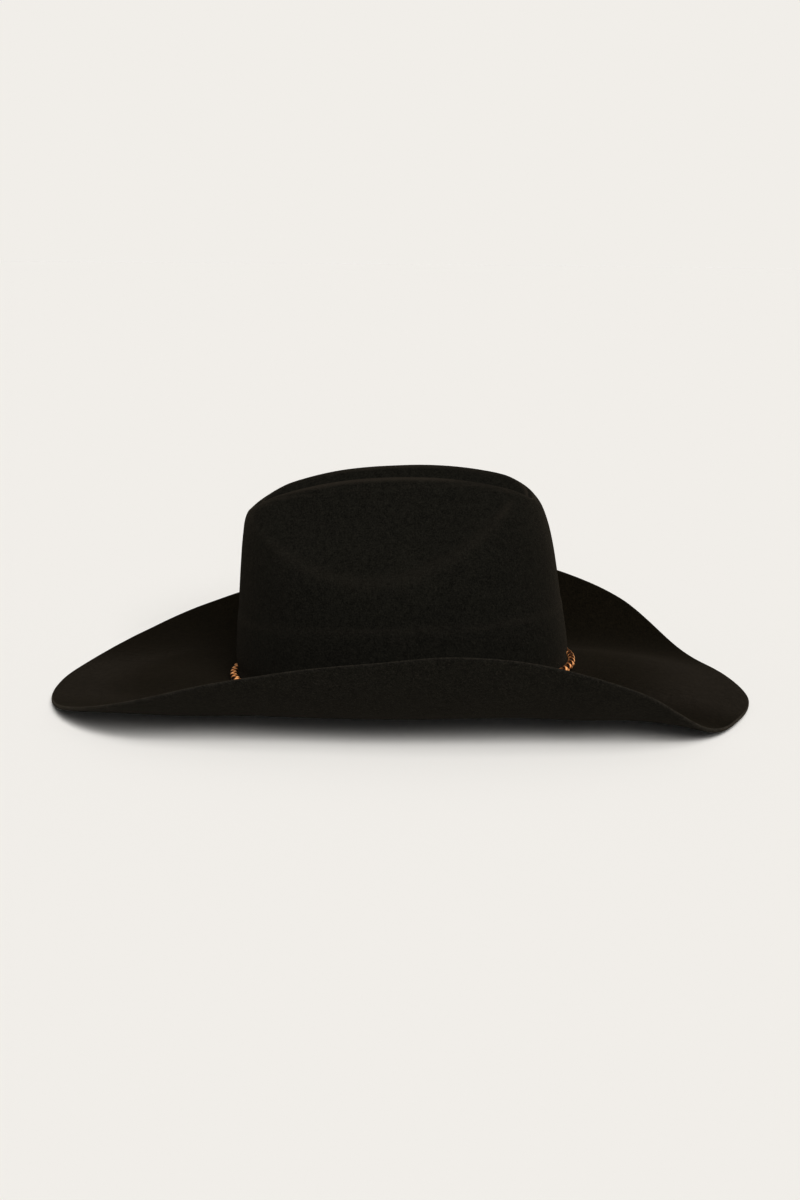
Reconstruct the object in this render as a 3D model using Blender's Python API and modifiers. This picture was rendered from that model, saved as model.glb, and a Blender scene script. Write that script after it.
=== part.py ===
"""Western felt hat with a braided leather band, sweatband and lining.

Frame: origin at the centre of the head opening, in the plane where crown and
brim meet. +X points to the front of the hat, +Y to the wearer's left, +Z up.
Metres. The felt is one blocked shell: brim sections are Bezier curves between
the break and the brim edge, and the crown is a stack of ovals that changes
from a plain block shape at the ends to the dented shape at the sides.
"""
from math import atan2, cos, degrees, exp, hypot, pi, radians, sin, sqrt

import bmesh
import bpy
from mathutils import Vector

# ---------------------------------------------------------------- dimensions
MM = 0.001
GAP = 0.3                       # clearance between neighbouring pieces

FELT = 2.4                      # felt thickness
BREAK = (101.5, 83.5, 2.15)     # outer oval at the break: half length, half width, exponent
FILLET = 3.0                    # radius between crown wall and brim

# brim edge, every 15 degrees from the front (0) round to the back (180)
EDGE_RADIUS = (210.5, 208.4, 206.2, 197, 181, 171, 167, 170, 184.5, 204.5, 211.5, 213.8, 213.5)
EDGE_HEIGHT = (-24, -22, -16.5, 13.7, 33.5, 41.7, 40.5, 37.2, 30.5, 18, 7, 0.2, -0.7)
BRIM_SLOPE_IN = (-4, -6, -11, -17, -18, -15, -11, -7, -3, 0, 0, -1, -1)     # degrees at the break
BRIM_SLOPE_OUT = (-16, -16, -6, 40, 58, 64, 64, 58, 40, 24, 10, 4, 2)       # degrees at the edge

# crown rings: half length, exponent, (half width, height) at the ends, the same at the dents
CROWN = (
    (101.5, 2.15, (83.5, 3.0), (83.5, 3.0)),
    (100.9, 2.15, (83.0, 11.0), (83.0, 11.0)),
    (99.6, 2.15, (82.0, 28.5), (82.0, 28.5)),
    (97.6, 2.15, (80.2, 50.5), (80.4, 46.5)),
    (95.2, 2.2, (77.3, 72.5), (77.4, 62.0)),
    (92.6, 2.25, (73.0, 88.5), (72.0, 73.0)),
    (89.9, 2.35, (66.0, 99.0), (63.5, 82.0)),
    (87.2, 2.5, (57.0, 104.5), (54.0, 91.0)),
    (85.8, 2.8, (49.0, 106.8), (46.5, 101.0)),
    (84.7, 3.2, (42.5, 107.8), (41.0, 111.3)),
    (83.4, 3.6, (37.5, 108.3), (37.2, 118.0)),
    (81.8, 3.9, (33.0, 108.5), (33.2, 121.6)),
)
RIDGE_TOP = 122.4               # height of the two ridges at mid length
LEAN = 1.6                      # how far the crown's top sits back towards the rear
DENT_X = -8.0                   # centre of the side dents
DENT_HALF = (28.0, 74.0)        # full dent inside the first distance, none beyond the second
END_DIP = 6.0                   # fall of the rim's middle, front and back
# centre crease: half length, exponent, half width, depth at mid length, depth at the ends
CREASE = ((78.8, 3.8, 28.8, 0.1, 0.5), (73.6, 3.5, 23.5, 3.8, 2.0),
          (67.0, 3.0, 16.0, 11.3, 4.8), (59.5, 2.6, 8.0, 19.0, 7.4),
          (54.0, 2.5, 0.0, 22.3, 8.4))

SWEAT_T, SWEAT_TOP, SWEAT_FOOT = 1.3, 45.0, 2.4
SWEAT_INSET = 1.3               # from the felt's inner face to the sweatband
REED_R, TAPE_T, TAPE_TOP = 0.9, 0.6, 8.5
THREAD_R = 0.3
LINING_T, LINING_FOOT, LINING_TOP = 0.5, 27.0, 76.0
PIPING_R = 1.0
SHIELD = (56.0, 34.0, 0.5)
BAND_Z = 2.9                    # centre height of the braided band
BAND_LAY_R, STRAND_R = 1.5, 0.9 # radius of the lay, radius of one lace
BAND_TURNS, BAND_STEPS = 12, 84
KEEPER = (2.75, 3.7, 12.0, 100.0)   # inner radius, outer radius, length, angle from the front

COLUMNS = 24                    # columns in the half felt
BRIM_ROWS = 8
RING = 48                       # stations round a full oval

# ---------------------------------------------------------------- start clean
for ob in list(bpy.data.objects):
    bpy.data.objects.remove(ob, do_unlink=True)
parts = bpy.data.collections.new("cowboy_hat")
bpy.context.scene.collection.children.link(parts)


# ---------------------------------------------------------------- the hat's rules
def smooth(x):
    x = min(max(x, 0.0), 1.0)
    return x * x * (3 - 2 * x)


def station(table, t):
    """Value at angle t from evenly spaced stations over half a turn, even about both ends."""
    t = abs((t + pi) % (2 * pi) - pi)
    n = len(table) - 1
    i = min(int(t / pi * n), n - 1)
    f = t / pi * n - i
    p = [table[abs(k)] if k <= n else table[2 * n - k] for k in (i - 1, i, i + 1, i + 2)]
    return p[1] + 0.5 * f * (p[2] - p[0] + f * (2 * p[0] - 5 * p[1] + 4 * p[2] - p[3]
                                               + f * (3 * (p[1] - p[2]) + p[3] - p[0])))


def oval(a, b, n, t):
    c, s = cos(t), sin(t)
    k = (abs(c) ** n + abs(s) ** n) ** (-1 / n)
    return a * c * k, b * s * k


def brim_frame(t):
    """Break point, outward direction in plan, and the distance to the brim edge."""
    bx, by = oval(*BREAK, t)
    rho = station(EDGE_RADIUS, t)
    ex, ey = rho * cos(t), rho * sin(t)
    h = hypot(ex - bx, ey - by)
    return bx, by, (ex - bx) / h, (ey - by) / h, h


def brim_point(t, u):
    """Upper face of the brim: u = 0 at the break's fillet, u = 1 at the edge."""
    bx, by, dx, dy, h = brim_frame(t)
    ze = station(EDGE_HEIGHT, t)
    a0, a1 = radians(station(BRIM_SLOPE_IN, t)), radians(station(BRIM_SLOPE_OUT, t))
    k = 0.40 * hypot(h - FILLET, ze)
    q = (FILLET, FILLET + k * cos(a0), h - k * cos(a1), h)
    z = (0.0, k * sin(a0), ze - k * sin(a1), ze)
    w = ((1 - u) ** 3, 3 * u * (1 - u) ** 2, 3 * u * u * (1 - u), u ** 3)
    r = sum(a * b for a, b in zip(w, q))
    return bx + dx * r, by + dy * r, sum(a * b for a, b in zip(w, z))


def fillet_point(t):
    bx, by, dx, dy, _ = brim_frame(t)
    q = FILLET * (1 - cos(pi / 4))
    return bx + dx * q, by + dy * q, q


def dent(x):
    return 1 - smooth((abs(x - DENT_X) - DENT_HALF[0]) / (DENT_HALF[1] - DENT_HALF[0]))


def ridge_drop(x):
    return (5.2e-4 if x > 0 else 4.95e-4) * abs(x) ** 2.3 + 1.6 * smooth((abs(x) - 66) / 18)


def end_dip(y):
    """How far the crown's rim falls in the middle of the front and the back."""
    return END_DIP * exp(-(y / 15) ** 2)


def lean(k):
    """How far ring k sits back: the crown's top leans a little to the rear."""
    return -LEAN * smooth((k - 4) / 3)


def crown_point(t, k):
    a, n, (bq, zq), (bs, zs) = CROWN[k]
    w = dent(oval(a, bq, n, t)[0])
    x, y = oval(a, bq + (bs - bq) * w, n, t)
    z = zq + (zs - zq) * w
    (_, eq), (_, es) = CROWN[-1][2:]
    z += (RIDGE_TOP - ridge_drop(x + lean(k)) - eq - (es - eq) * w) * smooth((k - 5) / 5)   # follows the ridge line
    return x + lean(k), y, z - end_dip(y) * smooth((k - 6) / 5)


def crease_point(t, k):
    a, n, b, mid, end = CREASE[k]
    x, y = oval(a, b, n, t) if b else (a * cos(t), 0.0)
    q = (x / a) ** 2
    z = RIDGE_TOP - ridge_drop(x * CROWN[-1][0] / a - LEAN) - (mid + (end - mid) * q)
    return x - LEAN, y, z - end_dip(y) * q * q


def wall(t, z, inset):
    """Point on the crown wall at height z, moved in by inset measured across the wall."""
    ring = [crown_point(t, k) for k in range(8)]
    z = max(z, ring[0][2]) if z < ring[0][2] else z
    i = max(j for j in range(7) if ring[j][2] <= z or j == 0)
    (x0, y0, z0), (x1, y1, z1) = ring[i], ring[i + 1]
    f = (z - z0) / (z1 - z0)
    x, y = x0 + (x1 - x0) * f, y0 + (y1 - y0) * f
    r = hypot(x, y)
    slope = (hypot(x1, y1) - hypot(x0, y0)) / (z1 - z0)
    d = inset * sqrt(1 + slope * slope)
    return x * (1 - d / r), y * (1 - d / r)


def low_wall(t, r_in):
    """Plan point r_in inside the outer oval of the crown's foot."""
    x, y = oval(BREAK[0] - r_in, BREAK[1] - r_in, BREAK[2], t)
    return x, y


# ---------------------------------------------------------------- builders
def material(name, colour, roughness, metallic=0.0, alpha=1.0):
    m = bpy.data.materials.new(name)
    m.use_nodes = True
    b = m.node_tree.nodes["Principled BSDF"]
    b.inputs["Base Color"].default_value = (*colour, 1)
    b.inputs["Roughness"].default_value = roughness
    b.inputs["Metallic"].default_value = metallic
    b.inputs["Alpha"].default_value = alpha
    m.diffuse_color = (*colour, alpha)
    return m


def place(name, data, mat):
    ob = bpy.data.objects.new(name, data)
    parts.objects.link(ob)
    data.materials.append(mat)
    return ob


def sheet(name, rows, mat, closed=False, flip=False):
    """Open surface from rows of points in millimetres, one row after another."""
    bm = bmesh.new()
    grid = [[bm.verts.new(Vector(p) * MM) for p in row] for row in rows]
    n = len(rows[0])
    for a, b in zip(grid, grid[1:]):
        for j in range(n if closed else n - 1):
            f = [a[j], a[(j + 1) % n], b[(j + 1) % n], b[j]]
            bm.faces.new(f[::-1] if flip else f)
    me = bpy.data.meshes.new(name)
    bm.to_mesh(me)
    bm.free()
    me.shade_smooth()
    return place(name, me, mat)


def thicken(ob, mm, offset):
    s = ob.modifiers.new("thickness", "SOLIDIFY")
    s.thickness = mm * MM
    s.offset = offset
    s.use_even_offset = False
    s.use_rim = True
    return s


def tube(name, points, radius, mat, cyclic=True, resolution=1):
    cu = bpy.data.curves.new(name, "CURVE")
    cu.dimensions = "3D"
    cu.twist_mode = "Z_UP"
    cu.bevel_depth = radius * MM
    cu.bevel_resolution = resolution
    cu.use_fill_caps = not cyclic
    sp = cu.splines.new("POLY")
    sp.points.add(len(points) - 1)
    for q, p in zip(sp.points, points):
        q.co = (*(c * MM for c in p), 1)
    sp.use_cyclic_u = cyclic
    return place(name, cu, mat)


def ring_angles(n=RING):
    return [2 * pi * j / n for j in range(n)]


# ---------------------------------------------------------------- materials
felt_mat = material("black_felt", (0.012, 0.010, 0.008), 0.95)
leather_mat = material("tan_leather", (0.42, 0.17, 0.06), 0.45)
keeper_mat = material("keeper_leather", (0.36, 0.14, 0.05), 0.5)
sweat_mat = material("sweatband_leather", (0.10, 0.055, 0.03), 0.5)
reed_mat = material("reed_plastic", (0.55, 0.53, 0.48), 0.4)
tape_mat = material("cloth_tape", (0.03, 0.028, 0.026), 0.9)
thread_mat = material("thread", (0.05, 0.03, 0.02), 0.7)
ribbon_mat = material("ribbon", (0.02, 0.018, 0.016), 0.4)
lining_mat = material("satin_lining", (0.05, 0.035, 0.022), 0.35)
shield_mat = material("clear_plastic", (0.85, 0.87, 0.86), 0.1, alpha=0.35)
label_mat = material("label_paper", (0.75, 0.72, 0.64), 0.8)

# ---------------------------------------------------------------- felt body
angles = [pi * j / COLUMNS for j in range(COLUMNS + 1)]
rows = [[brim_point(t, 1 - i / BRIM_ROWS) for t in angles] for i in range(BRIM_ROWS + 1)]
rows.append([fillet_point(t) for t in angles])
rows += [[crown_point(t, k) for t in angles] for k in range(len(CROWN))]
rows += [[crease_point(t, k) for t in angles] for k in range(len(CREASE))]
rows = [[(x, 0.0 if j in (0, COLUMNS) else y, z) for j, (x, y, z) in enumerate(row)] for row in rows]
felt = sheet("felt_body", rows, felt_mat)
mirror = felt.modifiers.new("left_half", "MIRROR")
mirror.use_axis = (False, True, False)
mirror.merge_threshold = 0.00001
thicken(felt, FELT, -1)

# ---------------------------------------------------------------- sweatband
back_gap = 0.4 / BREAK[0]       # half of the open butt joint at the back, as an angle
span = [-pi + back_gap + (2 * pi - 2 * back_gap) * j / RING for j in range(RING + 1)]


def sweat_face(t, z, extra=0.0):
    return (*wall(t, z, FELT + SWEAT_INSET + extra), z)


sweat_rows = [[sweat_face(t, z) for t in span]
              for z in (SWEAT_FOOT, 11.0, 28.5, SWEAT_TOP)]
sweat = sheet("sweatband", sweat_rows, sweat_mat)
thicken(sweat, SWEAT_T, -1)

# reed in the foot of the sweatband, and the tape folded round it
REED_IN = FELT + 0.35 + TAPE_T + 0.4 + REED_R   # from the outer oval to the reed's centre
tube("sweatband_reed", [(*low_wall(t, REED_IN), 0.0) for t in ring_angles()], REED_R, reed_mat)


def tape_profile():
    """(distance in from the outer oval, height) round the tape's section: a flange and a hook."""
    r_out, r_in = REED_R + 0.4 + TAPE_T, REED_R + 0.4
    hook = [-pi * k / 4 for k in range(5)]
    outer = [(REED_IN - r_out * cos(a), r_out * sin(a)) for a in hook]
    inner = [(REED_IN - r_in * cos(a), r_in * sin(a)) for a in reversed(hook)]
    return [(outer[0][0], TAPE_TOP)] + outer + inner + [(inner[-1][0], TAPE_TOP)]


profile = tape_profile()
tape_rows = []
for t in ring_angles():
    row = []
    for d, z in profile:
        if z > 3.0:
            row.append((*wall(t, z, d), z))
        else:
            row.append((*low_wall(t, d), z))
    tape_rows.append(row)
bm = bmesh.new()
grid = [[bm.verts.new(Vector(p) * MM) for p in row] for row in tape_rows]
for i in range(RING):
    a, b = grid[i], grid[(i + 1) % RING]
    for j in range(len(profile)):
        k = (j + 1) % len(profile)
        bm.faces.new((a[j], a[k], b[k], b[j]))
bmesh.ops.recalc_face_normals(bm, faces=bm.faces)
me = bpy.data.meshes.new("reed_tape")
bm.to_mesh(me)
bm.free()
place("reed_tape", me, tape_mat)

inner_face = FELT + SWEAT_INSET + SWEAT_T
tube("sweatband_stitching",
     [(*wall(t, 5.2, inner_face + GAP + THREAD_R), 5.2) for t in ring_angles()],
     THREAD_R, thread_mat, resolution=0)

# butt joint at the back: patch behind it and zigzag thread in front of it
patch_half = 8.0 / BREAK[0]
patch_rows = [[(*wall(pi - patch_half + 2 * patch_half * j / 4, z, FELT + 0.4), z) for j in range(5)]
              for z in (9.5, 18.0, 26.0)]
thicken(sheet("sweatband_seam_patch", patch_rows, tape_mat), 0.5, -1)

zigzag = []
for k in range(15):
    z = 17.0 + 1.8 * k
    t = pi + (1 if k % 2 else -1) * 2.2 / BREAK[0]
    zigzag.append((*wall(t, z, inner_face + GAP + THREAD_R), z))
tube("sweatband_seam_thread", zigzag, THREAD_R, thread_mat, cyclic=False, resolution=0)

# ribbon bow: a flat outline of two loops and a knot, standing against the sweatband's inner face
bow = bpy.data.curves.new("sweatband_bow", "CURVE")
bow.dimensions = "2D"
bow.fill_mode = "BOTH"
bow.extrude = 0.7 * MM
outline = []
for k in range(24):
    a = 2 * pi * k / 24
    half = 9.0 * abs(cos(a)) ** 0.8 * (1 if cos(a) > 0 else -1)
    outline.append((half, (1.6 + 2.6 * abs(cos(a)) ** 1.5) * (1 if sin(a) >= 0 else -1) * min(1.0, abs(sin(a)) * 3 + 0.35)))
sp = bow.splines.new("POLY")
sp.points.add(len(outline) - 1)
for q, (px, py) in zip(sp.points, outline):
    q.co = (px * MM, py * MM, 0, 1)
sp.use_cyclic_u = True
bow_ob = place("sweatband_bow", bow, ribbon_mat)
bow_x = wall(pi, 11.0, inner_face)[0] + 0.7 + 1.4
bow_ob.location = (bow_x * MM, 0, 11.0 * MM)
bow_ob.rotation_euler = (pi / 2, 0, pi / 2)

# blank label on the sweatband's left inner face
label_half = 11.0 / BREAK[1]
label_rows = [[(*wall(pi / 2 - label_half + 2 * label_half * j / 6, z, inner_face + GAP + 0.05), z) for j in range(7)]
              for z in (14.0, 28.5, 34.0)]
thicken(sheet("size_label", label_rows, label_mat), 0.4, -1)

# ---------------------------------------------------------------- lining
LIN_IN = FELT + 0.35
heights = (LINING_FOOT, 42.0, 55.0, 65.0, LINING_TOP)


def lining_wall(t, z, extra=0.0):
    """The lining hangs a little further off the felt towards its top, where the dents press in."""
    return wall(t, z, LIN_IN + 1.6 * smooth((z - 44) / 26) + extra)


side_rows = [[(*lining_wall(t, z), z) for t in ring_angles()] for z in heights]
thicken(sheet("lining_side", side_rows, lining_mat, closed=True), LINING_T, -1)

tip_rim = [lining_wall(t, LINING_TOP, LINING_T + 0.7) for t in ring_angles()]


def tip_disc(name, mat, share, z0, rise, thick):
    """Oval panel, slightly domed, closed at its centre line."""
    half = [lining_wall(pi * j / COLUMNS, LINING_TOP, LINING_T + 0.7) for j in range(COLUMNS + 1)]
    out = []
    for f in (1.0, 0.66, 0.33, 0.0):
        out.append([(x * (f + (1 - f) * 0.35) * share, (0.0 if j in (0, COLUMNS) else y) * f * share,
                     z0 + rise * (1 - f * f)) for j, (x, y) in enumerate(half)])
    ob = sheet(name, out, mat)
    m = ob.modifiers.new("left_half", "MIRROR")
    m.use_axis = (False, True, False)
    m.merge_threshold = 0.00001
    thicken(ob, thick, -1)
    return ob


tip_disc("lining_tip", lining_mat, 1.0, LINING_TOP - 0.4, 2.0, LINING_T)
tube("lining_piping", [(x * (1 - 1.9 / hypot(x, y)), y * (1 - 1.9 / hypot(x, y)),
                        LINING_TOP - 0.4 - LINING_T - GAP - PIPING_R) for x, y in tip_rim],
     PIPING_R, lining_mat)
tip_disc("tip_shield", shield_mat, 0.72, LINING_TOP - 0.4 - LINING_T - 0.1, 1.6, SHIELD[2])

# ---------------------------------------------------------------- braided band
def band_centre(t):
    """Centre of the braid; the keeper lifts it off the felt where it passes."""
    kt = radians(KEEPER[3])
    lift = 1.6 * smooth(1.6 - abs(t - kt) / 0.16)
    d = GAP + BAND_LAY_R + STRAND_R + lift
    return (*oval(CROWN[0][0] + d, CROWN[0][2][0] + d, BREAK[2], t), BAND_Z + lift)


for s, letter in enumerate("abcd"):
    points = []
    for j in range(BAND_STEPS):
        t = 2 * pi * j / BAND_STEPS
        x, y, z = band_centre(t)
        x1, y1, _ = band_centre(t + 0.01)
        nx, ny = (y1 - y), -(x1 - x)
        k = hypot(nx, ny)
        a = BAND_TURNS * t + pi / 2 * s
        points.append((x + nx / k * BAND_LAY_R * cos(a), y + ny / k * BAND_LAY_R * cos(a),
                       z + BAND_LAY_R * sin(a)))
    tube("band_strand_" + letter, points, STRAND_R, leather_mat, resolution=0)

# keeper: a short leather sleeve round the braid
kt = radians(KEEPER[3])
kx, ky, kz = band_centre(kt)
kx1, ky1, _ = band_centre(kt + 0.01)
bm = bmesh.new()
rings = []
for r, h in ((KEEPER[0], -KEEPER[2] / 2), (KEEPER[1], -KEEPER[2] / 2), (KEEPER[1], KEEPER[2] / 2), (KEEPER[0], KEEPER[2] / 2)):
    rings.append([bm.verts.new(Vector((r * cos(2 * pi * j / 16), r * sin(2 * pi * j / 16), h)) * MM) for j in range(16)])
for i in range(4):
    a, b = rings[i], rings[(i + 1) % 4]
    for j in range(16):
        bm.faces.new((a[j], a[(j + 1) % 16], b[(j + 1) % 16], b[j]))
bmesh.ops.recalc_face_normals(bm, faces=bm.faces)
me = bpy.data.meshes.new("band_keeper")
bm.to_mesh(me)
bm.free()
keeper = place("band_keeper", me, keeper_mat)
keeper.location = (kx * MM, ky * MM, kz * MM)
keeper.rotation_euler = (0, pi / 2, atan2(ky1 - ky, kx1 - kx))

bpy.context.view_layer.update()
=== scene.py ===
"""Looks for the western felt hat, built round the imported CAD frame.

Metres, in the row frame: +X front of the hat, +Y wearer's left, +Z up, origin
at the centre of the head opening.
"""

from math import acos, atan2, cos, degrees, exp, hypot, pi, radians, sin, sqrt, tan

import bmesh
import bpy
import numpy as np
from mathutils import Matrix, Vector, noise


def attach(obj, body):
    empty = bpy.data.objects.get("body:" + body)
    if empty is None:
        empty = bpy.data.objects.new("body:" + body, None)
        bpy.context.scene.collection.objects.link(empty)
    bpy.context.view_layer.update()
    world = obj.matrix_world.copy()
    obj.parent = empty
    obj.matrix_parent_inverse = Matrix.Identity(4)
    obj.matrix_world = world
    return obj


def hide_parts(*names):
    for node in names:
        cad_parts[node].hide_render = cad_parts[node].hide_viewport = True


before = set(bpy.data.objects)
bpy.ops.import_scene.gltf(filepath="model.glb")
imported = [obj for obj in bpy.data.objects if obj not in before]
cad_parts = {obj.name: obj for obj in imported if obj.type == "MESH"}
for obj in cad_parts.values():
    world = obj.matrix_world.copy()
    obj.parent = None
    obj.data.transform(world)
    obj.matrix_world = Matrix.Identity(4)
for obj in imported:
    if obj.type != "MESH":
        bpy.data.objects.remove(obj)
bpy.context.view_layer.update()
MM = 0.001

# ------------------------------------------------------------------ the hat's rules (millimetres)
GAP = 0.3
FELT = 2.4
BREAK = (101.5, 83.5, 2.15)
FILLET = 3.0
EDGE_RADIUS = (210.5, 208.4, 206.2, 197, 181, 171, 167, 170, 184.5, 204.5, 211.5, 213.8, 213.5)
EDGE_HEIGHT = (-24, -22, -16.5, 13.7, 33.5, 41.7, 40.5, 37.2, 30.5, 18, 7, 0.2, -0.7)
BRIM_SLOPE_IN = (-4, -6, -11, -17, -18, -15, -11, -7, -3, 0, 0, -1, -1)
BRIM_SLOPE_OUT = (-16, -16, -6, 40, 58, 64, 64, 58, 40, 24, 10, 4, 2)
CROWN = (
    (101.5, 2.15, (83.5, 3.0), (83.5, 3.0)),
    (100.9, 2.15, (83.0, 11.0), (83.0, 11.0)),
    (99.6, 2.15, (82.0, 28.5), (82.0, 28.5)),
    (97.6, 2.15, (80.2, 50.5), (80.4, 46.5)),
    (95.2, 2.2, (77.3, 72.5), (77.4, 62.0)),
    (92.6, 2.25, (73.0, 88.5), (72.0, 73.0)),
    (89.9, 2.35, (66.0, 99.0), (63.5, 82.0)),
    (87.2, 2.5, (57.0, 104.5), (54.0, 91.0)),
    (85.8, 2.8, (49.0, 106.8), (46.5, 101.0)),
    (84.7, 3.2, (42.5, 107.8), (41.0, 111.3)),
    (83.4, 3.6, (37.5, 108.3), (37.2, 118.0)),
    (81.8, 3.9, (33.0, 108.5), (33.2, 121.6)),
)
RIDGE_TOP = 122.4
LEAN = 1.6
END_DIP = 6.0
DENT_X = -8.0
DENT_HALF = (28.0, 74.0)
CREASE = ((78.8, 3.8, 28.8, 0.1, 0.5), (73.6, 3.5, 23.5, 3.8, 2.0),
          (67.0, 3.0, 16.0, 11.3, 4.8), (59.5, 2.6, 8.0, 19.0, 7.4),
          (54.0, 2.5, 0.0, 22.3, 8.4))
SWEAT_T, SWEAT_TOP, SWEAT_FOOT, SWEAT_INSET = 1.3, 45.0, 2.4, 1.3
REED_R, TAPE_T, TAPE_TOP = 0.9, 0.6, 8.5
LINING_T, LINING_FOOT, LINING_TOP = 0.5, 27.0, 76.0
PIPING_R = 1.0
BAND_Z, BAND_R = 2.9, 2.4
KEEPER = (2.75, 3.7, 12.0, 100.0)


def smooth(x):
    x = min(max(x, 0.0), 1.0)
    return x * x * (3 - 2 * x)


def station(table, t):
    t = abs((t + pi) % (2 * pi) - pi)
    n = len(table) - 1
    i = min(int(t / pi * n), n - 1)
    f = t / pi * n - i
    p = [table[abs(k)] if k <= n else table[2 * n - k] for k in (i - 1, i, i + 1, i + 2)]
    return p[1] + 0.5 * f * (p[2] - p[0] + f * (2 * p[0] - 5 * p[1] + 4 * p[2] - p[3]
                                               + f * (3 * (p[1] - p[2]) + p[3] - p[0])))


def oval(a, b, n, t):
    c, s = cos(t), sin(t)
    k = (abs(c) ** n + abs(s) ** n) ** (-1 / n)
    return a * c * k, b * s * k


def brim_frame(t):
    bx, by = oval(*BREAK, t)
    rho = station(EDGE_RADIUS, t)
    ex, ey = rho * cos(t), rho * sin(t)
    h = hypot(ex - bx, ey - by)
    return bx, by, (ex - bx) / h, (ey - by) / h, h


def brim_point(t, u):
    bx, by, dx, dy, h = brim_frame(t)
    ze = station(EDGE_HEIGHT, t)
    a0, a1 = radians(station(BRIM_SLOPE_IN, t)), radians(station(BRIM_SLOPE_OUT, t))
    k = 0.40 * hypot(h - FILLET, ze)
    q = (FILLET, FILLET + k * cos(a0), h - k * cos(a1), h)
    z = (0.0, k * sin(a0), ze - k * sin(a1), ze)
    w = ((1 - u) ** 3, 3 * u * (1 - u) ** 2, 3 * u * u * (1 - u), u ** 3)
    r = sum(a * b for a, b in zip(w, q))
    return bx + dx * r, by + dy * r, sum(a * b for a, b in zip(w, z))


def fillet_point(t, a):
    """Point on the quarter round between brim (a = 0) and crown wall (a = 1)."""
    bx, by, dx, dy, _ = brim_frame(t)
    q = FILLET * (1 - sin(a * pi / 2))
    return bx + dx * q, by + dy * q, FILLET * (1 - cos(a * pi / 2))


def dent(x):
    return 1 - smooth((abs(x - DENT_X) - DENT_HALF[0]) / (DENT_HALF[1] - DENT_HALF[0]))


def ridge_drop(x):
    return (5.2e-4 if x > 0 else 4.95e-4) * abs(x) ** 2.3 + 1.6 * smooth((abs(x) - 66) / 18)


def end_dip(y):
    """How far the crown's rim falls in the middle of the front and the back."""
    return END_DIP * exp(-(y / 15) ** 2)


def lean(k):
    """How far ring k sits back: the crown's top leans a little to the rear."""
    return -LEAN * smooth((k - 4) / 3)


def crown_point(t, k):
    a, n, (bq, zq), (bs, zs) = CROWN[k]
    w = dent(oval(a, bq, n, t)[0])
    x, y = oval(a, bq + (bs - bq) * w, n, t)
    z = zq + (zs - zq) * w
    (_, eq), (_, es) = CROWN[-1][2:]
    z += (RIDGE_TOP - ridge_drop(x + lean(k)) - eq - (es - eq) * w) * smooth((k - 5) / 5)   # follows the ridge line
    return x + lean(k), y, z - end_dip(y) * smooth((k - 6) / 5)


def crease_point(t, k):
    a, n, b, mid, end = CREASE[k]
    x, y = oval(a, b, n, t) if b else (a * cos(t), 0.0)
    q = (x / a) ** 2
    z = RIDGE_TOP - ridge_drop(x * CROWN[-1][0] / a - LEAN) - (mid + (end - mid) * q)
    return x - LEAN, y, z - end_dip(y) * q * q


def wall(t, z, inset):
    ring = [crown_point(t, k) for k in range(8)]
    z = max(z, ring[0][2])
    i = max(j for j in range(7) if ring[j][2] <= z or j == 0)
    (x0, y0, z0), (x1, y1, z1) = ring[i], ring[i + 1]
    f = (z - z0) / (z1 - z0)
    x, y = x0 + (x1 - x0) * f, y0 + (y1 - y0) * f
    r = hypot(x, y)
    slope = (hypot(x1, y1) - hypot(x0, y0)) / (z1 - z0)
    d = inset * sqrt(1 + slope * slope)
    return x * (1 - d / r), y * (1 - d / r)


def low_wall(t, r_in):
    return oval(BREAK[0] - r_in, BREAK[1] - r_in, BREAK[2], t)


# ------------------------------------------------------------------ mesh helpers
def finish_mesh(me, name, mats, flip=None):
    me.validate()
    me.shade_smooth()
    ob = bpy.data.objects.new(name, me)
    bpy.context.scene.collection.objects.link(ob)
    for m in mats:
        me.materials.append(m)
    return ob


def mesh_from(name, verts, faces, mats, indices=None, outward=True):
    me = bpy.data.meshes.new(name)
    me.from_pydata([tuple(v) for v in verts], [], faces)
    if outward:
        bm = bmesh.new()
        bm.from_mesh(me)
        bmesh.ops.recalc_face_normals(bm, faces=bm.faces)
        bm.to_mesh(me)
        bm.free()
    if indices is not None:
        me.polygons.foreach_set("material_index", indices)
    return finish_mesh(me, name, mats)


def grid_faces(rows, cols, close_rows=False, close_cols=False, start=0):
    out = []
    for i in range(rows if close_rows else rows - 1):
        for j in range(cols if close_cols else cols - 1):
            a, b = i, (i + 1) % rows
            c, d = j, (j + 1) % cols
            out.append((start + a * cols + c, start + a * cols + d, start + b * cols + d, start + b * cols + c))
    return out


def paint(ob, rgba):
    """Point colour "tone", one value a vertex."""
    layer = ob.data.color_attributes.new("tone", "FLOAT_COLOR", "POINT")
    layer.data.foreach_set("color", np.asarray(rgba, dtype=np.float32).ravel())


def grid_uv(me, rows, cols, u_len, v_len):
    """UV in millimetres over a grid of rows x cols points: u along the rows, v round each row."""
    uv = me.uv_layers.new(name="UVMap")
    for p in me.polygons:
        idx = list(p.vertices)
        r = [i // cols for i in idx]
        c = [i % cols for i in idx]
        wrap_r, wrap_c = max(r) - min(r) > 1, max(c) - min(c) > 1
        for li, a, b in zip(p.loop_indices, r, c):
            a = rows if wrap_r and a == 0 else a
            b = cols if wrap_c and b == 0 else b
            uv.data[li].uv = (a / rows * u_len, b / cols * v_len)


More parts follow.
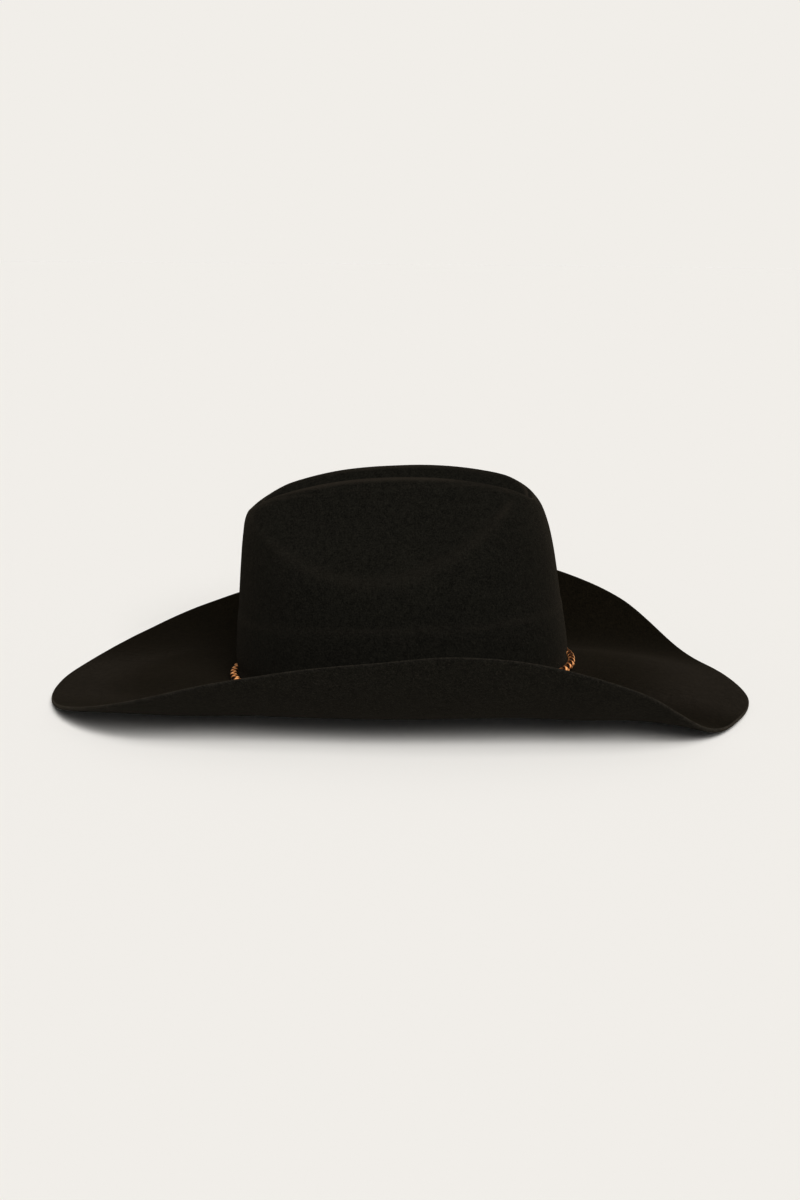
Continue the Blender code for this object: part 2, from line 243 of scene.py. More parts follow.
def sweep_ring(name, sections, mats, closed=True, uv=None):
    """Loft closed profiles (each a list of points in millimetres) round a ring, or along a strip with end caps."""
    n, m = len(sections), len(sections[0])
    verts = [Vector(p) * MM for s in sections for p in s]
    faces = grid_faces(n, m, close_rows=closed, close_cols=True)
    if not closed:
        faces.append(tuple(range(m)))
        faces.append(tuple(range((n - 1) * m, n * m)))
    ob = mesh_from(name, verts, faces, mats)
    if uv:
        grid_uv(ob.data, n, m, *uv)
    return ob


def put(ob, body, slot, *nodes):
    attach(ob, body)
    if nodes:
        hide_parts(*nodes)
    return ob


def merge(name, parts, mats):
    """One mesh from lists of (vertices in millimetres, faces)."""
    verts, faces = [], []
    for v, f in parts:
        k = len(verts)
        verts += [Vector(q) * MM for q in v]
        faces += [tuple(i + k for i in g) for g in f]
    return mesh_from(name, verts, faces, mats)


def capsule(path, radius, sides=7, flat=1.0, up=Vector((0, 0, 1))):
    """A stitch or short thread: tube along a path, rounded off at both ends."""
    P = [Vector(p) for p in path]
    secs = tube_sections(P, 1.0, sides, cyclic=False, flat=flat, up=up)
    n = len(P)
    verts = []
    for i, sec in enumerate(secs):
        e = min(i, n - 1 - i) / max(1, n // 3)
        r = radius * sqrt(min(1.0, 0.12 + e))
        verts += [P[i] + (q - P[i]) * r for q in sec]
    faces = grid_faces(n, sides, close_cols=True)
    faces.append(tuple(range(sides)))
    faces.append(tuple(range((n - 1) * sides, n * sides)))
    return verts, faces


def tube_sections(points, radius, sides=10, cyclic=True, flat=1.0, up=Vector((0, 0, 1))):
    """Round (or flattened) sections square to a path; up is the reference direction."""
    n = len(points)
    P = [Vector(p) for p in points]
    out = []
    for i in range(n):
        a = P[(i + 1) % n] if (cyclic or i < n - 1) else P[i]
        b = P[i - 1] if (cyclic or i > 0) else P[i]
        d = (a - b).normalized()
        s = d.cross(up).normalized()
        u = s.cross(d).normalized()
        out.append([P[i] + s * radius * cos(2 * pi * k / sides) + u * radius * flat * sin(2 * pi * k / sides)
                    for k in range(sides)])
    return out


def catmull(rows, steps):
    """Rows of points with smooth rows put between them, steps per span (numpy arrays)."""
    R = [np.array(r, float) for r in rows]
    n = len(R)
    out = []
    for i in range(n - 1):
        p0 = R[i - 1] if i > 0 else 2 * R[0] - R[1]
        p1, p2 = R[i], R[i + 1]
        p3 = R[i + 2] if i + 2 < n else 2 * R[-1] - R[-2]
        k = steps[i] if hasattr(steps, "__len__") else steps
        d01 = np.sqrt(np.linalg.norm(p1 - p0, axis=1)).clip(1e-6)[:, None]
        d12 = np.sqrt(np.linalg.norm(p2 - p1, axis=1)).clip(1e-6)[:, None]
        d23 = np.sqrt(np.linalg.norm(p3 - p2, axis=1)).clip(1e-6)[:, None]
        m1 = (p1 - p0) / d01 - (p2 - p0) / (d01 + d12) + (p2 - p1) / d12
        m2 = (p2 - p1) / d12 - (p3 - p1) / (d12 + d23) + (p3 - p2) / d23
        m1, m2 = m1 * d12, m2 * d12
        for s in range(k):
            f = s / k
            out.append((2 * f ** 3 - 3 * f * f + 1) * p1 + (f ** 3 - 2 * f * f + f) * m1
                       + (3 * f * f - 2 * f ** 3) * p2 + (f ** 3 - f * f) * m2)
    out.append(R[-1])
    return out


# ------------------------------------------------------------------ materials
class Nodes:
    """A Principled material with a short way to add nodes."""

    def __init__(self, name, colour, roughness, **sockets):
        self.m = bpy.data.materials.new(name)
        self.m.use_nodes = True
        self.t = self.m.node_tree
        self.b = self.t.nodes["Principled BSDF"]
        self.set(self.b, "Base Color", (*colour, 1))
        self.set(self.b, "Roughness", roughness)
        for k, v in sockets.items():
            self.set(self.b, k.replace("_", " ").title().replace("Ior", "IOR"), v)
        self.m.diffuse_color = (*colour, 1)
        self.coord = None

    @staticmethod
    def set(node, socket, value):
        node.inputs[socket].default_value = value

    def add(self, kind, **props):
        n = self.t.nodes.new(kind)
        for k, v in props.items():
            if k in n.inputs:
                n.inputs[k].default_value = v
            else:
                setattr(n, k, v)
        return n

    def link(self, a, ao, b, bi):
        self.t.links.new(a.outputs[ao], b.inputs[bi])

    def obj(self, rot=(0, 0, 0), scale=(1, 1, 1)):
        if self.coord is None:
            self.coord = self.t.nodes.new("ShaderNodeTexCoord")
        mp = self.t.nodes.new("ShaderNodeMapping")
        mp.inputs["Rotation"].default_value = rot
        mp.inputs["Scale"].default_value = scale
        self.link(self.coord, "Object", mp, "Vector")
        return mp

    def along(self, rot, scale):
        """Object coordinates turned first and stretched after, for streaks that lie at an angle."""
        mp = self.obj(rot, tuple(1 / c for c in scale))
        mp.vector_type = "TEXTURE"
        return mp

    def noise(self, scale, detail=2.0, rough=0.5, mapping=None, distortion=0.0):
        n = self.t.nodes.new("ShaderNodeTexNoise")
        n.inputs["Scale"].default_value = scale
        n.inputs["Detail"].default_value = detail
        n.inputs["Roughness"].default_value = rough
        n.inputs["Distortion"].default_value = distortion
        self.link(mapping or self.obj(), "Vector", n, "Vector")
        return n

    def ramp(self, src, out, stops):
        r = self.t.nodes.new("ShaderNodeValToRGB")
        e = r.color_ramp.elements
        while len(e) < len(stops):
            e.new(0.5)
        for el, (pos, col) in zip(e, stops):
            el.position = pos
            el.color = (*col, 1) if len(col) == 3 else col
        self.link(src, out, r, "Fac")
        return r

    def mix(self, fac, a, b, blend="MIX"):
        """fac, a and b are (node, output) pairs or values."""
        n = self.t.nodes.new("ShaderNodeMix")
        n.data_type = "RGBA"
        n.blend_type = blend
        for sock, v in ((0, fac), (6, a), (7, b)):
            if isinstance(v, tuple) and isinstance(v[0], bpy.types.Node):
                self.t.links.new(v[0].outputs[v[1]], n.inputs[sock])
            elif sock == 0:
                n.inputs[0].default_value = v
            else:
                n.inputs[sock].default_value = (*v, 1)
        return n

    def math(self, op, a, b=None, c=None):
        n = self.t.nodes.new("ShaderNodeMath")
        n.operation = op
        for i, v in enumerate((a, b, c)):
            if v is None:
                continue
            if isinstance(v, tuple):
                self.t.links.new(v[0].outputs[v[1]], n.inputs[i])
            else:
                n.inputs[i].default_value = v
        return n

    def bump(self, src, out, strength, distance, chain=None):
        n = self.t.nodes.new("ShaderNodeBump")
        n.inputs["Strength"].default_value = strength
        n.inputs["Distance"].default_value = distance
        self.link(src, out, n, "Height")
        if chain:
            self.link(chain, "Normal", n, "Normal")
        return n


def felt_material(name, cool, wear_and_highlight, painted_light_end, fibre, sheen=0.04, rough_cut=False):
    """Brushed wool felt: a dark ground with a fine speckle and short fibres lying every way.

    The point colour "tone" carries wear and painted light: red runs from the plain crown over the
    lighter brim ends (half: sun-faded wear and painted highlight) to painted shade near the crown's
    foot and along the brim's curled sides (full; on the cut edge full red is a painted highlight),
    green is a painted highlight along the ridges and ledges, partly wear of the nap, blue the frosted underside."""
    m = Nodes(name, cool, 0.95)
    m.set(m.b, "Specular IOR Level", 0.02)
    m.set(m.b, "Sheen Weight", sheen)
    m.set(m.b, "Sheen Roughness", 0.5)
    m.set(m.b, "Sheen Tint", (1.0, 0.82, 0.60, 1))
    tone = m.add("ShaderNodeVertexColor", layer_name="tone")
    rgb = m.add("ShaderNodeSeparateColor")
    m.link(tone, "Color", rgb, 0)
    # red picks the ground: plain crown, lighter brim ends (wear and painted highlight), painted shade at full red (on
    # the cut edge a painted highlight)
    ground = m.ramp(rgb, 0, [(0.0, cool), (0.5, wear_and_highlight), (1.0, painted_light_end)])
    speck = m.ramp(m.noise(1000, 2, 0.7), "Fac", [(0.36, (0, 0, 0)), (0.66, (1, 1, 1))])
    clump = m.ramp(m.noise(290, 3, 0.6), "Fac", [(0.34, (0, 0, 0)), (0.70, (1, 1, 1))])
    patch = m.noise(42, 2, 0.5)
    amount = m.math("MULTIPLY_ADD", (speck, 0), 0.95, 0.32)
    amount = m.math("MULTIPLY_ADD", (clump, 0), 0.50, (amount, 0))
    amount = m.math("MULTIPLY_ADD", (patch, 0), 0.30, (amount, 0))
    scaled = m.add("ShaderNodeVectorMath", operation="SCALE")
    m.t.links.new(ground.outputs[0], scaled.inputs[0])
    m.t.links.new(amount.outputs[0], scaled.inputs["Scale"])
    fibres = None
    for rot in ((0.3, 0.7, 0.2), (1.1, 0.2, 1.3), (0.6, 1.4, 2.4), (2.0, 0.9, 0.5), (0.1, 2.2, 1.9)):
        st = m.noise(1.0, 1.0, 0.4, m.along(rot, (430, 1700, 1500)), 0.9)
        r = m.ramp(st, "Fac", [(0.63, (0, 0, 0)), (0.76, (1, 1, 1))])
        fibres = m.math("MAXIMUM", (fibres, 0), (r, 0)) if fibres else r
    hair = m.math("MULTIPLY_ADD", (rgb, 2), 0.50, 0.7 if rough_cut else 0.5)
    fib = m.math("MULTIPLY", (fibres, 0), (hair, 0))
    # fibres turn darker and warmer with red, following the painted shade
    fibre = m.mix((rgb, 0), fibre, tuple(f * k for f, k in zip(fibre, (0.70, 0.55, 0.34))))
    lighter = m.mix((fib, 0), (scaled, 0), (fibre, 2))
    # green mixes in a painted highlight along ridges and ledges, partly wear of the nap
    ridge_wear_and_highlight = m.math("MULTIPLY", (rgb, 1), 0.55)
    final = m.mix((ridge_wear_and_highlight, 0), (lighter, 2), tuple(2.6 * c for c in wear_and_highlight))
    m.t.links.new(final.outputs[2], m.b.inputs["Base Color"])
    b1 = m.bump(speck, 0, 0.40, 0.0003)
    b2 = m.bump(fibres, 0, 0.45 if rough_cut else 0.30, 0.0003, b1)
    b3 = m.bump(clump, 0, 0.30, 0.0005, b2)
    m.link(b3, "Normal", m.b, "Normal")
    return m.m


def leather_material(name, dark, light, scale=700, rough=(0.42, 0.62), bump=0.3, coat=0.0):
    m = Nodes(name, light, rough[0])
    m.set(m.b, "Specular IOR Level", 0.45)
    m.set(m.b, "Coat Weight", coat)
    m.set(m.b, "Coat Roughness", 0.3)
    patch = m.noise(90, 3, 0.6)
    col = m.mix((m.ramp(patch, "Fac", [(0.3, (0, 0, 0)), (0.7, (1, 1, 1))]), 0), dark, light)
    m.t.links.new(col.outputs[2], m.b.inputs["Base Color"])
    v = m.add("ShaderNodeTexVoronoi", feature="DISTANCE_TO_EDGE")
    v.inputs["Scale"].default_value = scale
    warp = m.noise(300, 1)
    add = m.add("ShaderNodeVectorMath", operation="MULTIPLY_ADD")
    m.link(warp, "Color", add, 0)
    add.inputs[1].default_value = (0.0008, 0.0008, 0.0008)
    m.link(m.obj(), "Vector", add, 2)
    m.link(add, 0, v, "Vector")
    pores = m.ramp(v, "Distance", [(0.0, (0, 0, 0)), (0.12, (1, 1, 1))])
    rr = m.ramp(patch, "Fac", [(0.3, (rough[0],) * 3), (0.7, (rough[1],) * 3)])
    m.t.links.new(rr.outputs[0], m.b.inputs["Roughness"])
    b1 = m.bump(pores, 0, bump, 0.00015)
    b2 = m.bump(m.noise(1600, 2), "Fac", 0.15, 0.0001, b1)
    m.link(b2, "Normal", m.b, "Normal")
    return m.m


def weave_material(name, dark, light, pitch, rough=0.6, sheen=0.3, bump=0.4, axes=("t", "z"), spec=0.4):
    """Woven cloth: warp and weft from two wave bands along UV, so it follows the strip."""
    m = Nodes(name, light, rough)
    m.set(m.b, "Specular IOR Level", spec)
    m.set(m.b, "Sheen Weight", sheen)
    m.set(m.b, "Sheen Roughness", 0.4)
    uv = m.add("ShaderNodeUVMap")
    sep = m.add("ShaderNodeSeparateXYZ")
    m.link(uv, "UV", sep, 0)
    waves = []
    for axis in (0, 1):
        s = m.math("MULTIPLY", (sep, axis), 2 * pi / pitch)
        w = m.math("SINE", (s, 0))
        waves.append(w)
    prod = m.math("MULTIPLY", (waves[0], 0), (waves[1], 0))
    h = m.math("MULTIPLY_ADD", (prod, 0), 0.5, 0.5)
    # the weave's hollows are painted darker and its raised crossings lighter, following the bump: painted shade and
    # highlight
    col = m.mix((h, 0), dark, light)
    m.t.links.new(col.outputs[2], m.b.inputs["Base Color"])
    b1 = m.bump(h, 0, bump, pitch * 0.35)
    m.link(b1, "Normal", m.b, "Normal")
    return m.m


# crown ground; lighter brim ends (sun-faded wear and painted highlight); painted shade near the crown's foot and along
# the curled brim sides
FELT_COOL, FELT_WEAR_AND_HIGHLIGHT, FELT_PAINTED_SHADE = (0.0076, 0.0072, 0.0055), (0.0142, 0.0116, 0.0089), (0.0050, 0.0039, 0.0021)
felt_mat = felt_material("black_wool_felt", FELT_COOL, FELT_WEAR_AND_HIGHLIGHT, FELT_PAINTED_SHADE, (0.024, 0.0215, 0.0168), 0.03)
# the cut edge's lighter colours are a painted highlight along its top
felt_edge = felt_material("felt_cut_edge", (0.0070, 0.0064, 0.0050), (0.017, 0.0154, 0.0128), (0.030, 0.0272, 0.0225), (0.030, 0.0272, 0.0225), 0.05, True)


def lace_material():
    """Tan leather lace: painted highlight along its crown and where it crosses over, painted shade where it dives
    under, darker towards its cut edges.
    """
    m = Nodes("tan_braid_leather", (0.60, 0.27, 0.11), 0.36)
    m.set(m.b, "Specular IOR Level", 0.5)
    m.set(m.b, "Coat Weight", 0.15)
    m.set(m.b, "Coat Roughness", 0.25)
    tone = m.add("ShaderNodeVertexColor", layer_name="tone")
    rgb = m.add("ShaderNodeSeparateColor")
    m.link(tone, "Color", rgb, 0)
    patch = m.noise(260, 2, 0.6)
    f = m.math("MULTIPLY", (rgb, 0), (m.math("MULTIPLY_ADD", (patch, 0), 0.5, 0.75), 0))
    col = m.ramp(f, 0, [(0.0, (0.006, 0.002, 0.001)), (0.30, (0.050, 0.017, 0.005)),
                        (0.56, (0.42, 0.170, 0.054)), (1.0, (0.92, 0.48, 0.21))])
    m.t.links.new(col.outputs[0], m.b.inputs["Base Color"])
    rr = m.ramp(patch, "Fac", [(0.3, (0.32,) * 3), (0.7, (0.50,) * 3)])
    m.t.links.new(rr.outputs[0], m.b.inputs["Roughness"])
    m.link(m.bump(m.noise(1500, 2), "Fac", 0.25, 0.0001), "Normal", m.b, "Normal")
    return m.m


braid_mat = lace_material()
keeper_mat = leather_material("tan_keeper_leather", (0.22, 0.078, 0.025), (0.38, 0.155, 0.055), 1700, (0.35, 0.5), 0.15, 0.15)
sweat_mat = leather_material("sweatband_leather", (0.042, 0.021, 0.012), (0.085, 0.045, 0.026), 620, (0.40, 0.6), 0.35)

# ------------------------------------------------------------------ felt body
HALF = 168
NB = 46
SUB = 6


def felt_rows():
    ts = [pi * j / HALF for j in range(HALF + 1)]
    brim = [[brim_point(t, 1 - i / NB) for t in ts] for i in range(NB + 1)]
    fil = [[fillet_point(t, a) for t in ts] for a in (0.25, 0.5, 0.75)]
    crown = [[crown_point(t, k) for t in ts] for k in range(len(CROWN))]
    crown += [[crease_point(t, k) for t in ts] for k in range(len(CREASE))]
    rows = [np.array(r, float) for r in brim + fil] + catmull(crown, SUB)
    return np.array(rows)


def relief(P, is_crown):
    """Hand-shaped unevenness (always outward, clear of the lining), the sweatband's top showing
    through the crown, and the soft edge of each side's dent."""
    out = np.zeros(P.shape[:2])
    for i in range(P.shape[0]):
        for j in range(P.shape[1]):
            x, y, z = P[i, j]
            v = Vector((x, y, z))
            d = 0.26 * (1 + noise.noise(v * 0.016)) + 0.12 * (1 + noise.noise(v * 0.055 + Vector((7, 3, 1))))
            if is_crown[i, j]:
                d *= smooth((z - 9) / 30)
                d += 0.62 * smooth((z - 16) / 22) * (1 - smooth((z - 38.6) / 2.6))
                d += (0.45 + 0.75 * smooth((abs(x) - 50) / 45)) * smooth((z - 6.5) / 7) * (1 - smooth((z - 15) / 22))
                zb = 69.3 + 0.0058 * (x + 10) ** 2
                q = z - zb
                side = smooth((abs(y) - 30) / 14) * smooth((84 - abs(x + 4)) / 16)
                d += side * (0.65 * exp(-((q + 2.6) / 3.6) ** 2)
                             - 1.45 * smooth((q + 1.5) / 5.0) * exp(-(max(q - 2, 0) / 18) ** 2))
            else:
                d *= smooth((hypot(x / 104.0, y / 86.0) - 1.06) / 0.10)
            out[i, j] = d
    return out


def surface_normals(P):
    """Unit normals of a full grid (rows x ring columns), the ring closed."""
    du = np.roll(P, -1, 1) - np.roll(P, 1, 1)
    dv = np.gradient(P, axis=0)
    n = np.cross(du, dv)
    ln = np.linalg.norm(n, axis=2, keepdims=True)
    n = n / ln.clip(1e-9)
    return n


def build_felt():
    g = felt_rows()
    g[:, 0, 1] = 0
    g[:, -1, 1] = 0
    # full ring: half, then the mirrored half without its two ends
    m = g[:, -2:0:-1] * np.array([1, -1, 1])
    P = np.concatenate([g, m], 1)
    rows, cols = P.shape[:2]
    N = surface_normals(P)
    # the last row is the crease's centre line: straight up
    N[-1] = (0, 0, 1)
    if N[rows // 2, 0, 0] * np.sign(P[rows // 2, 0, 0]) < 0:
        N = -N
    N[-1] = (0, 0, 1)
    is_crown = np.zeros((rows, cols))
    is_crown[NB + 4:] = 1
    d = relief(P, is_crown)
    P = P + N * d[..., None]
    N = surface_normals(P)
    if N[rows // 2, 0, 0] * np.sign(P[rows // 2, 0, 0]) < 0:
        N = -N
    N[-1] = (0, 0, 1)
    # the two coincident halves of the centre line share their heights
    inner = P - N * FELT
    # painted highlight on the crown's convex folds, partly wear of the nap there; and the brim top's warmer tone
    lap = (np.roll(P, 1, 1) + np.roll(P, -1, 1) - 2 * P)
    ds = np.linalg.norm(np.roll(P, -1, 1) - P, axis=2, keepdims=True).clip(0.2)
    kc = -(lap * N).sum(2) / (ds[..., 0] ** 2)
    row = np.zeros((rows, cols))
    d1 = np.linalg.norm(P[2:] - P[1:-1], axis=2).clip(0.05)
    d0 = np.linalg.norm(P[1:-1] - P[:-2], axis=2).clip(0.05)
    bend = 2 * ((P[2:] - P[1:-1]) / d1[..., None] - (P[1:-1] - P[:-2]) / d0[..., None]) / (d0 + d1)[..., None]
    row[1:-1] = -(bend * N[1:-1]).sum(2)
    fold = np.clip((np.maximum(row, kc) - 0.055) / 0.13, 0, 1) * is_crown
    fold *= np.clip((P[:, :, 2] - 96) / 8, 0, 1)
    for _ in range(3):
        fold = 0.5 * fold + 0.25 * (np.roll(fold, 1, 1) + np.roll(fold, -1, 1))
    # ... and a fainter painted highlight along the lower edge of each side's dent and over the sweatband's top, ledges
    # that face up
    X, Y, Z = P[:, :, 0], P[:, :, 1], P[:, :, 2]
    q = Z - 69.3 - 0.0058 * (X + 10) ** 2
    dent = np.clip((np.abs(Y) - 30) / 14, 0, 1) * np.clip((84 - np.abs(X + 4)) / 24, 0, 1)
    fold = np.maximum(fold, is_crown * (0.20 * dent * np.exp(-((q + 2.0) / 4.4) ** 2) + 0.22 * np.exp(-((Z - 39.8) / 1.7) ** 2)))
    step = lambda v: (lambda c: c * c * (3 - 2 * c))(np.clip(v, 0, 1))
    # brim top: painted shade near the crown's foot (reaching further at the back) and along the curled sides, lighter
    # towards the front and back ends (sun-faded wear and painted highlight)
    away = (np.hypot(P[:, :, 0] / 104, P[:, :, 1] / 86) - 1) * 95
    back = step(-X / 90)
    dark = np.maximum(1 - step((away - 22 - 26 * back) / (60 - 22 * back)), step((np.abs(Y) - 30) / 60))
    brim_wear_and_painted_light = (1 - is_crown) * (0.45 + 0.55 * dark)
    # rounded cut edge: outward direction in the brim's surface at its edge
    edge, n0 = P[0], N[0]
    out = P[0] - P[1]
    out /= np.linalg.norm(out, axis=1, keepdims=True)
    rim = []
    for a in (20, 45, 70, 110, 135, 160):
        q = radians(a)
        bulge = 0.75 * min(1.0, sin(q) * 1.25)
        rim.append(edge - n0 * (FELT / 2) * (1 - cos(q)) + out * bulge)
    zero = np.zeros((rows, cols))
    upper = np.stack([brim_wear_and_painted_light, fold, zero, zero + 1], 2)[::-1]
    lower = np.stack([zero, zero, 1 - is_crown, zero + 1], 2)
    # painted highlight along the top of the cut edge, fading to none towards the underside
    wear_and_highlight = [[min(1.0, f * (0.75 + 0.5 * noise.noise(Vector((j * 0.9, 4.0, 0.0))))) for j in range(cols)]
              for f in (1.0, 1.0, 0.6, 0.2, 0.0, 0.0)]
    edge_highlight_tone = np.array([[(v, 0.0, 0.0, 1.0) for v in r] for r in wear_and_highlight])
    tones = np.concatenate([upper, edge_highlight_tone, lower]).reshape(-1, 4)
    verts, faces, mats = [], [], []
    layers = [P[i] for i in range(rows - 1, -1, -1)] + rim + [inner[i] for i in range(rows)]
    L = np.array(layers)
    verts = (L.reshape(-1, 3) * MM).tolist()
    faces = grid_faces(len(layers), cols, close_cols=True)
    rim_lo, rim_hi = rows - 1, rows - 1 + len(rim) + 1
    for i in range(len(layers) - 1):
        mats += [1 if rim_lo <= i < rim_hi else 0] * cols
    me = bpy.data.meshes.new("felt_body_looks")
    me.from_pydata(verts, [], faces)
    me.polygons.foreach_set("material_index", mats)
    layer = me.color_attributes.new("tone", "FLOAT_COLOR", "POINT")
    layer.data.foreach_set("color", tones.astype(np.float32).ravel())
    bm = bmesh.new()
    bm.from_mesh(me)
    # zip the crease's centre line, where the two halves meet
    ends = [v for v in bm.verts if abs(v.co.y) < 2e-6 and (v.index < cols or v.index >= (len(layers) - 1) * cols)]
    bmesh.ops.remove_doubles(bm, verts=ends, dist=2e-6)
    bmesh.ops.recalc_face_normals(bm, faces=bm.faces)
    bm.to_mesh(me)
    bm.free()
    return finish_mesh(me, "felt_body_looks", [felt_mat, felt_edge])


felt = build_felt()
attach(felt, "hat")
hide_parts("felt_body")


# ------------------------------------------------------------------ braided band
def band_centre(t):
    kt = radians(KEEPER[3])
    lift = 1.6 * smooth(1.6 - abs(t - kt) / 0.16)
    d = GAP + BAND_R + lift
    return (*oval(CROWN[0][0] + d, CROWN[0][2][0] + d, BREAK[2], t), BAND_Z + lift)


def braid(name, k, mat):
    """One lace of a four-strand round braid: two laces run each way and cross over and under."""
    turns = 38
    per = 36
    n = turns * per
    way = 1 if k % 2 == 0 else -1
    start = (0, pi / 2, pi, 3 * pi / 2)[k]
    mid, weave, width, thick = 1.36, 0.58, 1.18, 0.46
    m = 1440
    loop = np.array([band_centre(2 * pi * i / m) for i in range(m + 1)])
    s = np.concatenate([[0], np.cumsum(np.linalg.norm(np.diff(loop, axis=0), axis=1))])
    s /= s[-1]
    f = np.arange(n) / n
    C = np.stack([np.interp(f, s, loop[:, i]) for i in range(3)], 1)
    T = np.roll(C, -1, 0) - np.roll(C, 1, 0)
    T /= np.linalg.norm(T, axis=1, keepdims=True)
    O = np.stack([T[:, 1], -T[:, 0], 0 * T[:, 0]], 1)
    O /= np.linalg.norm(O, axis=1, keepdims=True)
    U = np.cross(O, T)
    w = 2 * pi * turns * f
    a = way * w + start
    over = np.sin(2 * w) * way
    r = mid + weave * over
    path = C + O * (r * np.cos(a))[:, None] + U * (r * np.sin(a))[:, None]
    radial = O * np.cos(a)[:, None] + U * np.sin(a)[:, None]
    D = np.roll(path, -1, 0) - np.roll(path, 1, 0)
    D /= np.linalg.norm(D, axis=1, keepdims=True)
    side = np.cross(D, radial)
    side /= np.linalg.norm(side, axis=1, keepdims=True)
    up = np.cross(side, D)
    prof = 12
    verts, tone = [], []
    for i in range(n):
        swell = 1.0 + 0.12 * over[i]
        shade = (1.08 if k < 2 else 0.84) + 0.5 * noise.noise(Vector((i / per * 2.6, 11.0 + 5 * k, 0.0)))
        for q in range(prof):
            c, sn = cos(2 * pi * q / prof), sin(2 * pi * q / prof)
            c = abs(c) ** 0.85 * (1 if c > 0 else -1)
            verts.append((path[i] + side[i] * width * swell * c + up[i] * thick * sn) * MM)
            # painted highlight where the lace crosses over and on its top side, painted shade where it dives under,
            # darker towards its cut edges
            tone.append(min(1.0, max(0.0, shade * (0.46 + 0.66 * over[i]) * (1 - 0.85 * abs(c) ** 2.4) + 0.10 * max(sn, 0))))
    ob = mesh_from(name, verts, grid_faces(n, prof, close_rows=True, close_cols=True), [mat])
    paint(ob, np.array([[v, v, v, 1.0] for v in tone]))
    return ob


for k, letter in enumerate("abcd"):
    lace = braid("braid_lace_" + letter, k, braid_mat)
    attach(lace, "band")
    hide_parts("band_strand_" + letter)

# dark core cord inside the braid: a filler cord, and its near-black colour is painted shade in the gaps between the
# laces
core_mat = leather_material("dark_core_cord", (0.010, 0.004, 0.002), (0.022, 0.009, 0.004), 900, (0.6, 0.8), 0.3)
core = sweep_ring("braid_core", tube_sections([band_centre(2 * pi * i / 360) for i in range(360)], 0.95, 12), [core_mat])
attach(core, "band")

# keeper: leather sleeve with rounded ends and a raised middle turn
kt = radians(KEEPER[3])
kc = Vector(band_centre(kt))
kn = Vector(band_centre(kt + 0.01))
kd = (kn - kc).normalized()
ks = kd.cross(Vector((0, 0, 1))).normalized()
ku = ks.cross(kd)
half = KEEPER[2] / 2
outline = []
for i in range(41):
    x = -half + KEEPER[2] * i / 40
    e = min(1.0, (half - abs(x)) / 0.9)
    r = KEEPER[0] + (KEEPER[1] - 0.12 - KEEPER[0]) * (0.35 + 0.65 * sqrt(max(0.0, 1 - (1 - e) ** 2)))
    r += -0.13 * exp(-((abs(x) - 2.6) / 0.28) ** 2)
    outline.append((x, r))
outline += [(x, KEEPER[0] - 0.02) for x in (half - 0.15, 0.0, -half + 0.15)]
sections = []
for q in range(40):
    c, sn = cos(2 * pi * q / 40), sin(2 * pi * q / 40)
    sections.append([kc + kd * x + (ks * c + ku * sn) * r for x, r in outline])
keeper = sweep_ring("band_keeper_looks", sections, [keeper_mat])
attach(keeper, "band")
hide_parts("band_keeper")

# ------------------------------------------------------------------ inside the hat: materials
reed_mat = Nodes("reed_plastic", (0.50, 0.48, 0.43), 0.35)
_n = reed_mat.noise(400, 2)
reed_mat.link(reed_mat.bump(_n, "Fac", 0.1, 0.0001), "Normal", reed_mat.b, "Normal")
reed_mat = reed_mat.m
tape_mat = weave_material("cotton_tape", (0.010, 0.009, 0.008), (0.034, 0.031, 0.028), 0.9, 0.9, 0.25, 0.5)
ribbon_mat = weave_material("grosgrain_ribbon", (0.008, 0.007, 0.006), (0.024, 0.021, 0.018), 0.7, 0.45, 0.3, 0.5)
label_mat = weave_material("label_cloth", (0.52, 0.48, 0.40), (0.74, 0.70, 0.62), 0.55, 0.7, 0.2, 0.4)


def cloth_patch_material():
    m = Nodes("seam_patch_cloth", (0.024, 0.022, 0.020), 0.9)
    w = m.add("ShaderNodeTexWave")
    w.inputs["Scale"].default_value = 420
    m.link(m.obj(), "Vector", w, "Vector")
    # the cloth's hollows are painted darker and its ribs lighter, following the bump: painted shade and highlight
    col = m.mix((w, "Fac"), (0.010, 0.009, 0.008), (0.034, 0.031, 0.028))
    m.t.links.new(col.outputs[2], m.b.inputs["Base Color"])
    m.link(m.bump(w, "Fac", 0.5, 0.0002), "Normal", m.b, "Normal")
    return m.m


def thread_material(name, dark, light):
    m = Nodes(name, light, 0.55)
    m.set(m.b, "Sheen Weight", 0.3)
    fib = m.noise(1800, 2, 0.6)
    col = m.mix((m.ramp(fib, "Fac", [(0.35, (0, 0, 0)), (0.65, (1, 1, 1))]), 0), dark, light)
    m.t.links.new(col.outputs[2], m.b.inputs["Base Color"])
    m.link(m.bump(fib, "Fac", 0.5, 0.0002), "Normal", m.b, "Normal")
    return m.m


